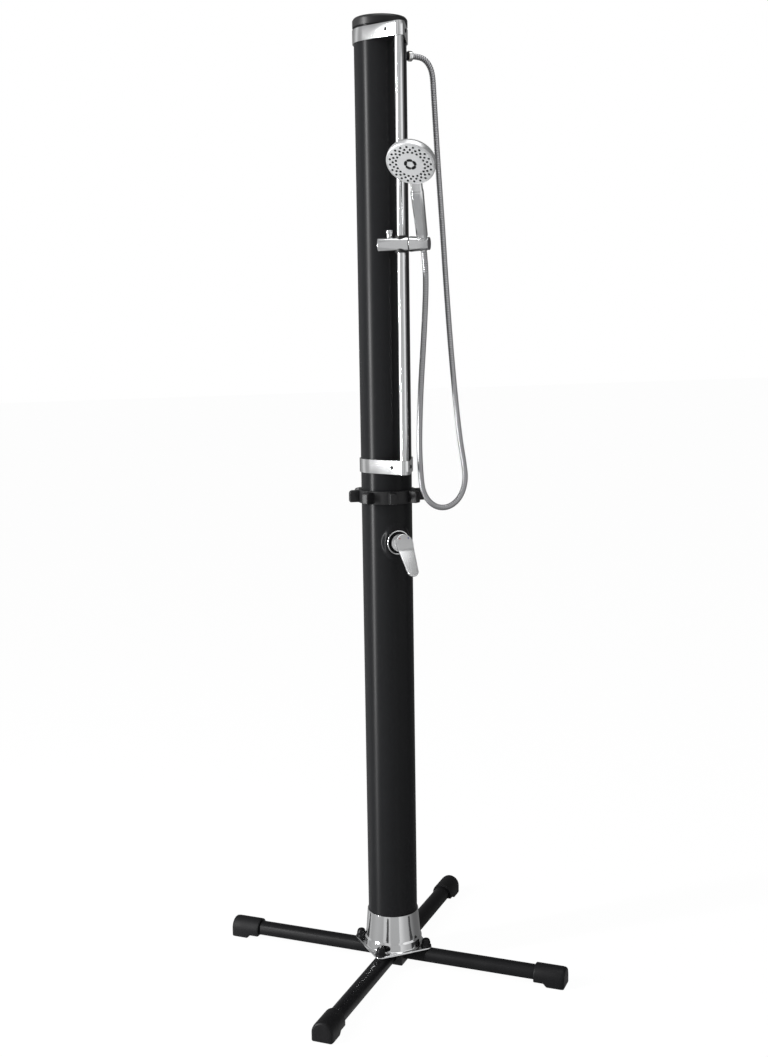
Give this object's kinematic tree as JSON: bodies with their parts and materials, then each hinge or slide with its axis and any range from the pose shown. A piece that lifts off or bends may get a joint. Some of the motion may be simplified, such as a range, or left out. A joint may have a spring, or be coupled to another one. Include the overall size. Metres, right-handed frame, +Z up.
{
  "type": "outdoor shower post",
  "caption": "Free-standing outdoor shower: tall black two-part tank post on four legs, with a lever tap, slide rail, hand shower and metal hose.",
  "frame": {"origin": "on the floor at the centre line of the post", "axes": "+Z up the post, -Y towards the front with rail and tap, +X to the object's side with the hose outlet"},
  "size_m": [0.6442, 0.6442, 2.196],
  "materials": {
    "black_coating": "satin black coating",
    "black_plastic": "fine satin moulded plastic",
    "black_rubber": "matt moulded rubber",
    "chrome_plate": "bright chrome plate",
    "chromed_plastic": "bright chrome on plastic",
    "face_plastic": "satin light grey",
    "black_steel": "black oxide",
    "plain_steel": "plain steel",
    "hose_steel": "polished spiral steel",
    "brass": "machined",
    "white_pipe": "plain plastic pipe"
  },
  "bodies": {
    "post": {"band_screws": "black_steel", "band_spacers": "black_plastic", "base_flange": "chrome_plate", "cartridge_nut": "black_plastic", "cold_pipe": "white_pipe", "collar_clamp_screws": "black_steel", "flange_bolts": "black_steel", "flange_cap_nuts": "black_steel", "foot_cap_front_left": "black_rubber", "foot_cap_front_right": "black_rubber", "foot_cap_rear_left": "black_rubber", "foot_cap_rear_right": "black_rubber", "hose_nut": "chrome_plate", "hot_water_pipe": "white_pipe", "inlet_gasket": "black_rubber", "leg_front_left": "black_coating", "leg_front_right": "black_coating", "leg_hub": "black_plastic", "leg_rear_left": "black_coating", "leg_rear_right": "black_coating", "lower_band": "chrome_plate", "lower_tank": "black_coating", "mixer_body": "brass", "outlet_gasket": "black_rubber", "outlet_nipple": "brass", "rail_end_plugs": "black_plastic", "riser_coupling": "black_plastic", "riser_lower": "white_pipe", "riser_upper": "white_pipe", "shower_hose": "hose_steel", "slide_rail": "chrome_plate", "tank_bottom": "black_plastic", "tap_cartridge": "black_plastic", "top_cap": "black_plastic", "top_cap_seal": "black_rubber", "trim_ring": "chrome_plate", "union_seal": "black_rubber", "upper_band": "chrome_plate", "upper_tank": "black_coating", "water_inlet": "brass"},
    "union_nut_body": {"union_nut": "black_plastic"},
    "tap_spindle": {"cartridge_rotor": "black_plastic", "lever_pin": "plain_steel"},
    "tap_handle": {"tap_lever": "chrome_plate", "lever_set_screw": "plain_steel"},
    "carriage": {"rail_bushes": "black_plastic"},
    "slider": {"slider_body": "chromed_plastic", "slider_end_plug": "chromed_plastic", "button_spring": "plain_steel", "holder_screw": "plain_steel", "friction_washer": "black_rubber"},
    "button": {"release_button": "chromed_plastic"},
    "shoe": {"brake_shoe": "black_plastic"},
    "holder": {"handset_holder": "chromed_plastic", "holder_end_cap": "black_plastic"},
    "hose_end": {"handset_cone_nut": "chromed_plastic"},
    "handset": {"handset_body": "chromed_plastic", "handset_stem": "white_pipe"},
    "spray_dial": {"spray_face": "face_plastic", "nozzle_mat": "black_rubber"}
  },
  "joints": [
    {"name": "union_nut_turn", "type": "hinge", "parent": "post", "child": "union_nut_body", "pos_m": [0, 0, 1.136], "axis": [0, 0, 1], "continuous": true},
    {"name": "tap_turn", "type": "hinge", "parent": "post", "child": "tap_spindle", "pos_m": [0, -0.061, 1.033], "axis": [0, -1, 0], "range_deg": [-45, 45]},
    {"name": "tap_lift", "type": "hinge", "parent": "tap_spindle", "child": "tap_handle", "pos_m": [0, -0.061, 1.033], "axis": [-1, 0, 0], "range_deg": [0, 20]},
    {"name": "slider_slide", "type": "slide", "parent": "post", "child": "carriage", "axis": [0, 0, 1], "range_m": [-0.45, 0.4], "deforming": ["shower_hose"]},
    {"name": "slider_turn", "type": "hinge", "parent": "carriage", "child": "slider", "pos_m": [0, -0.1, 1.7], "axis": [0, 0, 1], "range_deg": [-4, 55]},
    {"name": "button_press", "type": "slide", "parent": "slider", "child": "button", "axis": [0, 0, 1], "range_m": [-0.003, 0], "stiffness_N_per_m": 500, "deforming": ["button_spring"]},
    {"name": "shoe_release", "type": "slide", "parent": "slider", "child": "shoe", "axis": [0.7986, -0.6018, 0], "range_m": [-0.0006, 0]},
    {"name": "holder_tilt", "type": "hinge", "parent": "slider", "child": "holder", "pos_m": [0.03913, -0.12949, 1.7], "axis": [0.7986, -0.6018, 0], "range_deg": [-12, 35]},
    {"name": "handset_lift_out", "type": "slide", "parent": "holder", "child": "hose_end", "axis": [-0.2825, -0.3749, 0.8829], "range_m": [0, 0.045]},
    {"name": "handset_turn", "type": "hinge", "parent": "hose_end", "child": "handset", "pos_m": [0.03913, -0.12949, 1.7], "axis": [-0.2825, -0.3749, 0.8829], "range_deg": [-40, 40]},
    {"name": "spray_select", "type": "hinge", "parent": "handset", "child": "spray_dial", "pos_m": [-0.02892, -0.21633, 1.85654], "axis": [-0.4902, -0.512, -0.7054], "range_deg": [-45, 45]}
  ],
  "couplings": [
    {"joint": "shoe_release", "follows": "button_press", "ratio": 0.2}
  ]
}
